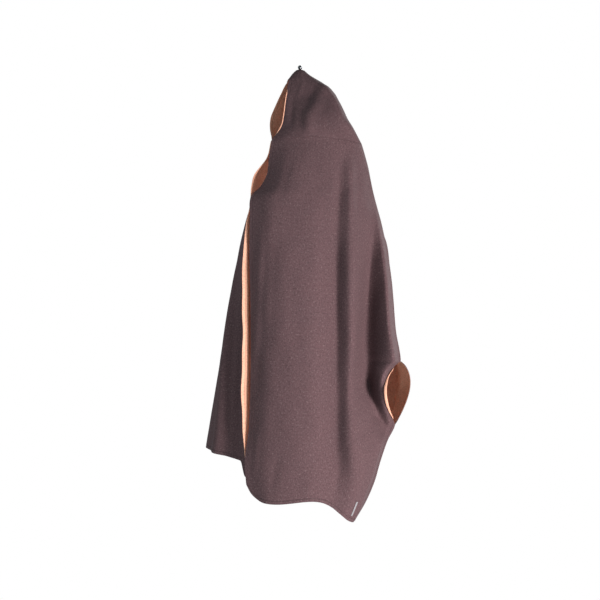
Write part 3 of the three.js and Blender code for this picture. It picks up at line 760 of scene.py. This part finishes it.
class Value:
    def __init__(self, finish, socket):
        self.finish, self.socket = finish, socket

    def sum_with(self, operation, other, swapped=False):
        pair = (other, self) if swapped else (self, other)
        return self.finish.node("ShaderNodeMath", {0: pair[0], 1: pair[1]}, operation=operation)

    def __add__(self, other):
        return self.sum_with("ADD", other)

    def __mul__(self, other):
        return self.sum_with("MULTIPLY", other)

    def __sub__(self, other):
        return self.sum_with("SUBTRACT", other)

    def __rsub__(self, other):
        return self.sum_with("SUBTRACT", other, swapped=True)

    def sin(self):
        return self.finish.node("ShaderNodeMath", {0: self}, operation="SINE")

    def clamp(self, low, high, to_low=0.0, to_high=1.0):
        return self.finish.node("ShaderNodeMapRange", {
            "Value": self, "From Min": low, "From Max": high, "To Min": to_low, "To Max": to_high},
            interpolation_type="SMOOTHSTEP")


class Finish:
    """A material and its nodes."""

    def __init__(self, name):
        self.material = bpy.data.materials.new(name)
        self.material.use_nodes = True
        self.nodes = self.material.node_tree.nodes
        self.shader = self.nodes["Principled BSDF"]

    def put(self, socket, value):
        if isinstance(value, Value):
            self.material.node_tree.links.new(value.socket, socket)
        else:
            socket.default_value = value

    def node(self, kind, inputs=None, out=0, **settings):
        made = self.nodes.new(kind)
        for key, value in settings.items():
            setattr(made, key, value)
        for key, value in (inputs or {}).items():
            self.put(made.inputs[key], value)
        return Value(self, made.outputs[out])

    def parts(self, vector):
        """x, y and z of a vector."""
        made = self.nodes.new("ShaderNodeSeparateXYZ")
        self.put(made.inputs[0], vector)
        return [Value(self, output) for output in made.outputs]

    def mix(self, factor, first, second):
        made = self.nodes.new("ShaderNodeMix")
        made.data_type = "RGBA"
        self.put(made.inputs[0], factor)
        self.put(made.inputs[6], first)
        self.put(made.inputs[7], second)
        return Value(self, made.outputs[2])

    def noise(self, where, scale, detail=2.0, roughness=0.5, stretch=None):
        if stretch:
            where = self.node("ShaderNodeMapping", {"Vector": where, "Scale": stretch})
        return self.node("ShaderNodeTexNoise", {
            "Vector": where, "Scale": scale, "Detail": detail, "Roughness": roughness})

    def bump(self, height, strength, distance, under=None):
        inputs = {"Height": height, "Strength": strength, "Distance": distance}
        if under is not None:
            inputs["Normal"] = under
        return self.node("ShaderNodeBump", inputs)

    def surface(self, **sockets):
        for key, value in sockets.items():
            self.put(self.shader.inputs[key.replace("_", " ").title().replace("Ior", "IOR")], value)
        return self.material


def rgb(r, g, b):
    return (r, g, b, 1.0)


def darker(colour, share):
    return rgb(*[part * share for part in colour])


# Metres: pitch of the yarns and of the tape's ribs, the hem's row of stitches from its edge and
# its groove's half width, the groove taking painted shade, and the heights between which painted shade
# darkens the hood's wool upwards
YARN = 0.0019
RIB = 0.0009
HEM_STITCH = 0.010
HEM_GROOVE = 0.0016
PAINTED_SHADE_HEIGHTS = (-0.3, -0.14)
# Noise scales of the wool, from its broad blotches to its nap
BLOTCH_SCALE = 14
DENT_SCALE = 45
WOBBLE_SCALE = 160
SHADE_SCALE = 210
TUFT_SCALE = 250
FIBRE_SCALE = 620
NAP_SCALE = 1500
# Outputs that are read from the coordinate node and the attribute node
OBJECT_PLACE = 3
ATTRIBUTE_VALUE = 2


def wool(name, ground, dark, fleck, pink, fleck_share, sheen, painted_shade=0):
    """Milled wool: a soft weave under a nap, with mixed fibres in the yarn and a row of stitches
    along open edges, its groove darkened with painted shade. The last argument is how much painted
    shade, a darker tone, is mixed in towards the hood's top."""
    finish = Finish(name)
    flat = finish.node("ShaderNodeUVMap", uv_map="weave")
    across, down, _ = finish.parts(flat)
    wobble = finish.noise(flat, WOBBLE_SCALE, 2) * 0.9
    warp = (across * (2 * math.pi / YARN) + wobble).sin()
    weft = (down * (2 * math.pi / YARN) + wobble).sin()
    weave = warp * weft

    blotch = finish.noise(flat, BLOTCH_SCALE, 3, 0.6)
    tufts = finish.noise(flat, TUFT_SCALE, 3, 0.62, stretch=(1.0, 0.7, 1.0))
    fine = finish.noise(flat, FIBRE_SCALE, 2, 0.6, stretch=(0.7, 1.0, 1.0))
    light = tufts.clamp(1 - fleck_share, 1 - fleck_share + 0.26)
    rosy = fine.clamp(0.46, 0.66)
    shade = finish.noise(flat, SHADE_SCALE, 2, 0.6).clamp(0.5, 0.66)

    colour = finish.mix(blotch.clamp(0.2, 0.8, 0.35, 0.65), rgb(*dark), rgb(*ground))
    colour = finish.mix(light, colour, rgb(*fleck))
    colour = finish.mix(rosy * 0.55, colour, rgb(*pink))
    colour = finish.mix(shade * 0.5, colour, darker(dark, 0.5))
    colour = finish.mix(weave.clamp(-1, 1, 0.25, 0.0), colour, darker(dark, 0.45))

    nap = finish.noise(flat, NAP_SCALE, 3, 0.7)
    normal = finish.bump(nap, 0.35, 0.0006)
    normal = finish.bump(weave * 0.5 + tufts, 0.45, 0.0007, normal)
    normal = finish.bump(finish.noise(flat, DENT_SCALE, 2, 0.5), 0.35, 0.002, normal)
    # Painted shade: a darker tone mixed into the colour towards the hood's top, by height
    if painted_shade:
        height = finish.parts(finish.node("ShaderNodeTexCoord", out=OBJECT_PLACE))[2]
        colour = finish.mix(height.clamp(*PAINTED_SHADE_HEIGHTS, 0.0, painted_shade), colour, darker(dark, 0.5))
    edge = finish.node("ShaderNodeAttribute", out=ATTRIBUTE_VALUE, attribute_name="edge")
    away = edge - HEM_STITCH
    groove = 1 - (away * away).clamp(0.0, HEM_GROOVE ** 2)
    normal = finish.bump(1 - groove, 0.7, 0.0012, normal)
    # Painted shade: the stitches' groove is darkened in colour, besides being sunk by the bump above
    colour = finish.mix(groove * 0.35, colour, darker(dark, 0.4))
    rough = blotch.clamp(0.2, 0.8, 0.86, 0.96)
    return finish.surface(base_color=colour, roughness=rough, normal=normal, sheen_weight=sheen,
                          sheen_roughness=0.45, sheen_tint=rgb(*fleck), specular_ior_level=0.2)


def ribbon(name, ground, shade):
    """Narrow woven tape with crosswise ribs."""
    finish = Finish(name)
    flat = finish.node("ShaderNodeUVMap", uv_map="weave")
    across, down, _ = finish.parts(flat)
    rib = (down * (2 * math.pi / RIB)).sin()
    cord = (across * (2 * math.pi / (RIB * 1.7))).sin()
    fuzz = finish.noise(flat, 1200, 2)
    colour = finish.mix((rib * cord).clamp(-1, 1), rgb(*shade), rgb(*ground))
    colour = finish.mix(fuzz.clamp(0.35, 0.7, 0.0, 0.3), colour, rgb(*shade))
    normal = finish.bump(rib + cord * 0.5 + fuzz, 0.5, 0.0003)
    return finish.surface(base_color=colour, roughness=fuzz.clamp(0.3, 0.7, 0.7, 0.9), normal=normal,
                          sheen_weight=0.2, specular_ior_level=0.3)


def tape(name, ground, shade):
    """Cotton tape of the hanger, on a solid that has no map of its own."""
    finish = Finish(name)
    where = finish.node("ShaderNodeTexCoord", out=OBJECT_PLACE)
    rib = finish.node("ShaderNodeTexWave", {"Vector": where, "Scale": 500.0, "Distortion": 1.0},
                      wave_type="BANDS", bands_direction="DIAGONAL")
    fuzz = finish.noise(where, 900, 3)
    colour = finish.mix(fuzz.clamp(0.35, 0.7), rgb(*shade), rgb(*ground))
    normal = finish.bump(rib + fuzz, 0.5, 0.0003)
    return finish.surface(base_color=colour, roughness=fuzz.clamp(0.3, 0.7, 0.8, 0.95), normal=normal,
                          specular_ior_level=0.3)


def steel(name):
    """Dark polished steel with fine turning marks and a little wear."""
    finish = Finish(name)
    where = finish.node("ShaderNodeTexCoord", out=OBJECT_PLACE)
    marks = finish.noise(where, 40, 2, 0.5, stretch=(1.0, 60.0, 1.0))
    smudge = finish.noise(where, 90, 3, 0.6)
    colour = finish.mix(smudge.clamp(0.4, 0.7), rgb(0.10, 0.10, 0.105), rgb(0.16, 0.16, 0.165))
    return finish.surface(base_color=colour, metallic=1.0,
                          roughness=(marks * 0.5 + smudge * 0.5).clamp(0.3, 0.7, 0.16, 0.3),
                          normal=finish.bump(marks, 0.15, 0.0001))


OUTER_TONES = {
    "ground": (0.100, 0.053, 0.056), "dark": (0.070, 0.037, 0.041), "fleck": (0.170, 0.112, 0.113),
    "pink": (0.150, 0.076, 0.084), "fleck_share": 0.5, "sheen": 0.1,
}
INNER_TONES = {
    "ground": (0.84, 0.42, 0.285), "dark": (0.74, 0.35, 0.235), "fleck": (0.91, 0.52, 0.37),
    "pink": (0.86, 0.45, 0.325), "fleck_share": 0.47, "sheen": 0.08,
}
OUTER_WOOL = wool("outer_wool", **OUTER_TONES)
# The hood's wool is a copy of the outer wool with painted shade, darker towards the hood's top
HOOD_WOOL_PAINTED_SHADE = wool("hood_wool_painted_shade", **OUTER_TONES, painted_shade=0.3)
INNER_WOOL = wool("inner_wool", **INNER_TONES)
CLOTH_PAIR = [OUTER_WOOL, INNER_WOOL]
HOOD_PAIR = [HOOD_WOOL_PAINTED_SHADE, INNER_WOOL]
LABEL_RIBBON = ribbon("label_ribbon", (0.33, 0.30, 0.31), (0.17, 0.15, 0.16))
LOOP_TAPE = tape("hanger_tape", (0.05, 0.036, 0.038), (0.028, 0.02, 0.022))
PEG_STEEL = steel("peg_steel")


# Pieces

def slit_weight(field, reach):
    """1 where the side is sewn, falling to 0 inside the hand slit."""
    drop = -field[2, :, 0]
    inside = np.minimum(drop - SLIT_TOP, SLIT_FOOT - drop)
    return 1 - smoothstep(0, reach, inside)


def settle(field, seed):
    """Adds the slow unevenness of soft cloth."""
    draw = np.random.default_rng(seed)
    across, down = lengths(field, 2), lengths(field, 1)
    rise = 0
    for _ in range(SETTLE_WAVES):
        wave = draw.uniform(*SETTLE_ACROSS)
        lean = draw.uniform(-SETTLE_LEAN, SETTLE_LEAN)
        phase = draw.uniform(0, SETTLE_PHASE)
        long_wave = draw.uniform(*SETTLE_DOWN)
        long_phase = draw.uniform(0, SETTLE_PHASE)
        rise = rise + (np.sin((across + lean * down) / wave * 2 * np.pi + phase)
                       * np.sin(down / long_wave * 2 * np.pi + long_phase))
    calm = smoothstep(0, CALM_SIDE, across) * smoothstep(0, CALM_SIDE, across[:, -1:] - across)
    calm = calm * smoothstep(0, CALM_TOP, down)
    return field + outward(field) * rise * calm / SETTLE_SPREAD


def make_body():
    """The three body panels, sewn along the side lines that their slits are left in."""
    pieces = {}
    for number, name in enumerate(PANELS):
        field = settle(body_grid(name), SETTLE_SEED + number)
        weight = slit_weight(field, SEAM_ENDS)
        open_rows = 1 - slit_weight(field, ROLL_FULL)
        sides = [row[0] for row in ROLLS[name]]
        for row in ROLLS[name]:
            roll(field, *row, open_rows)
        if name == "right_front":
            field = turn(field)
        facing = outward(field)
        facing[2, 0] = 0
        facing = unit(facing)
        for side in sides:
            sew(field, facing, side, BODY_HEART, weight=weight)
        # Below the slits the side seams keep a pressed line, with the groove's painted shade, as the hem does
        sewn = weight * (-field[2, :, 0] < SLIT_FOOT)
        unsewn = np.zeros_like(sewn)
        edge = edge_distance(field, (sewn if 0 in sides else unsewn, sewn if -1 in sides else unsewn, 0))
        pieces[name] = wall(name + "_cloth", field, facing, CLOTH_PAIR, edge,
                            inner_rims=(-1,) if name != "back" else ())
        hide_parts(name)
    return pieces


def make_hood():
    """The two halves, sewn along the centre seam and over the brow, open along the face."""
    pieces = {}
    for name, seam in {"hood_left": -1, "hood_right": 0}.items():
        field = hood_grid(name)
        front, *curl = ROLLS[name][0]
        row = np.linspace(0, len(HOODS[name]["seamX"]) - 1, HOOD_DOWN + 1)
        brow = 1 - smoothstep(*BROW_SEAM_ENDS, row - BROW_ROW)
        face = 1 - smoothstep(*HOOD_ROLL_ENDS, row)
        roll(field, front, *curl, face * smoothstep(*HOOD_ROLL_STARTS[name], row - BROW_ROW))
        facing = outward(field)
        facing[2, -1] = 0
        facing = unit(facing)
        sew(field, facing, seam, HOOD_HEART, level=False)
        sew(field, facing, front, HOOD_HEART, level=False, weight=brow)
        sewn = [np.ones_like(row), np.ones_like(row), 1]
        sewn[0 if front == 0 else 1] = brow
        pieces[name] = wall(name + "_cloth", field, facing, HOOD_PAIR, edge_distance(field, sewn),
                            inner_rims=(front,) if name == "hood_left" else ())
        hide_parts(name)
    return pieces


def make_label():
    across, down = np.meshgrid(np.linspace(0, 1, LABEL_ACROSS + 1), np.linspace(0, 1, LABEL_DOWN + 1))
    drop = LABEL["top"] + LABEL["height"] * down
    u = 1 - (LABEL["inset"] + LABEL["width"] * (1 - across)) / LABEL["panel_width"]
    field = body_point("left_front", u, drop)
    piece = wall("side_label_tab", field, outward(field), [LABEL_RIBBON], thickness=LABEL["thickness"],
                 lift=CLOTH + SEAM_GAP, bevel=LABEL_BEVEL)
    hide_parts("side_label")


PEG = {"rose": 25, "depth": 5, "chamfer": 1.2, "stem": 4, "ball": 6.5}
PEG_FILLET = [(3, 0), (1, 0.6), (0, 2.5)]
BALL_STEPS = 16
PEG_SIDES = 64
PEG_WELD = 0.00002


def peg_profile():
    """Radius and distance from the wall, from the middle of the rose to the tip of the ball."""
    rose, depth, chamfer, stem, ball = PEG.values()
    meet = math.asin(stem / ball)
    profile = [(0, 0), (rose, 0), (rose, depth - chamfer), (rose - chamfer, depth)]
    profile += [(stem + out, depth + rise) for out, rise in PEG_FILLET]
    for i in range(BALL_STEPS + 1):
        angle = meet + (math.pi - meet) * i / BALL_STEPS
        profile.append((0 if i == BALL_STEPS else ball * math.sin(angle), REACH - ball * math.cos(angle)))
    return profile


def make_peg():
    """Rose, stem and ball, spun about the peg's axis."""
    profile = peg_profile()
    bpy.ops.object.select_all(action="DESELECT")
    bpy.ops.mesh.primitive_circle_add(vertices=len(profile), radius=0.01)
    piece = bpy.context.object
    piece.name = piece.data.name = "peg"
    mesh = piece.data
    mesh.vertices.foreach_set("co", np.array([(r, -y, 0) for r, y in profile]).ravel() * METRE)
    bpy.ops.object.mode_set(mode="EDIT")
    bpy.ops.mesh.select_mode(type="VERT")
    bpy.ops.mesh.select_all(action="DESELECT")
    bpy.ops.object.mode_set(mode="OBJECT")
    for edge in mesh.edges:
        edge.select = set(edge.vertices) == {0, len(profile) - 1}
    bpy.ops.object.mode_set(mode="EDIT")
    bpy.ops.mesh.select_mode(type="EDGE")
    bpy.ops.mesh.delete(type="EDGE")
    bpy.ops.mesh.select_all(action="SELECT")
    bpy.ops.mesh.spin(steps=PEG_SIDES, angle=2 * math.pi, center=(0, 0, 0), axis=(0, 1, 0))
    bpy.ops.mesh.select_all(action="SELECT")
    bpy.ops.mesh.remove_doubles(threshold=PEG_WELD)
    bpy.ops.mesh.normals_make_consistent(inside=False)
    bpy.ops.object.mode_set(mode="OBJECT")
    only(piece)
    bpy.ops.object.shade_smooth_by_angle(angle=math.radians(35))
    mesh.materials.append(PEG_STEEL)
    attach(piece, "root")
    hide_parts("wall_peg")


cloth = make_body()
cloth.update(make_hood())
make_label()
make_peg()
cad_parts["hanger_loop"].data.materials.clear()
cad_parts["hanger_loop"].data.materials.append(LOOP_TAPE)

# Stage, in metres: camera, light and floor
CAMERA_AT = (0, -5.29, -0.6975)
CAMERA_TOWARDS = (0, 0, -0.6975)
LIT_PLACE = Vector((0, -0.25, -0.8))
LIGHT_DISTANCE = 4.5
NECK_LIGHT_AT = (0.05, -0.25, -0.42)
NECK_LIGHT_TOWARDS = (-0.14, -0.29, -0.38)
COOL = (0.84, 1.0, 1.03)
WORLD_STRENGTH = 0.46
FLOOR_RADIUS = 1.8
FLOOR_AT = (0, -0.2, -2.0)


def look_from(thing, at, towards):
    thing.location = at
    thing.rotation_euler = (Vector(towards) - Vector(at)).to_track_quat("-Z", "Y").to_euler()


camera = bpy.data.objects.new("camera", bpy.data.cameras.new("camera"))
bpy.context.collection.objects.link(camera)
camera.data.lens = 100
camera.data.sensor_width = 36
camera.data.clip_end = 60
look_from(camera, CAMERA_AT, CAMERA_TOWARDS)
bpy.context.scene.camera = camera


def around(azimuth, elevation):
    """A place about the garment. azimuth is measured from the viewer's side, positive to the right."""
    a, e = math.radians(azimuth), math.radians(elevation)
    away = Vector((math.sin(a) * math.cos(e), -math.cos(a) * math.cos(e), math.sin(e)))
    return LIT_PLACE + away * LIGHT_DISTANCE


def add_light(name, kind, at, power, towards=LIT_PLACE, **settings):
    light = bpy.data.objects.new(name, bpy.data.lights.new(name, kind))
    bpy.context.collection.objects.link(light)
    light.data.energy = power
    light.visible_camera = False
    for key, value in settings.items():
        setattr(light.data, key, value)
    look_from(light, at, towards)


add_light("key", "AREA", around(41, -14), 372, shape="DISK", size=1.4)
add_light("left_fill", "SUN", around(-60, 5), 0.7, angle=math.radians(40), color=COOL)
add_light("back_fill", "SUN", around(150, 20), 2.2, angle=math.radians(15))
# A small light inside the neck, for the cloth at the throat
add_light("neck_light", "AREA", NECK_LIGHT_AT, 0.06, towards=NECK_LIGHT_TOWARDS, size=0.08)

# The camera sees a white world, and the garment is lit by a dimmer and cooler one
world = bpy.data.worlds.new("studio")
bpy.context.scene.world = world
world.use_nodes = True
tree = world.node_tree
background = tree.nodes["Background"]
path = tree.nodes.new("ShaderNodeLightPath")
strength = tree.nodes.new("ShaderNodeMapRange")
strength.inputs["To Min"].default_value = WORLD_STRENGTH
strength.inputs["To Max"].default_value = 1.0
tree.links.new(path.outputs["Is Camera Ray"], strength.inputs["Value"])
tree.links.new(strength.outputs[0], background.inputs["Strength"])
tint = tree.nodes.new("ShaderNodeMix")
tint.data_type = "RGBA"
tint.inputs[6].default_value = (*COOL, 1)
tint.inputs[7].default_value = (1, 1, 1, 1)
tree.links.new(path.outputs["Is Camera Ray"], tint.inputs[0])
tree.links.new(tint.outputs[2], background.inputs["Color"])
bpy.context.scene.view_settings.view_transform = "Standard"

bpy.ops.object.select_all(action="DESELECT")
bpy.ops.mesh.primitive_circle_add(vertices=96, radius=FLOOR_RADIUS, fill_type="NGON", location=FLOOR_AT)
floor = bpy.context.object
floor.name = "floor"
pale = Finish("pale_floor")
grain = pale.noise(pale.node("ShaderNodeTexCoord", out=OBJECT_PLACE), 6, 3)
pale.surface(base_color=pale.mix(grain, rgb(0.80, 0.80, 0.79), rgb(0.84, 0.84, 0.83)), roughness=0.8)
floor.data.materials.append(pale.material)
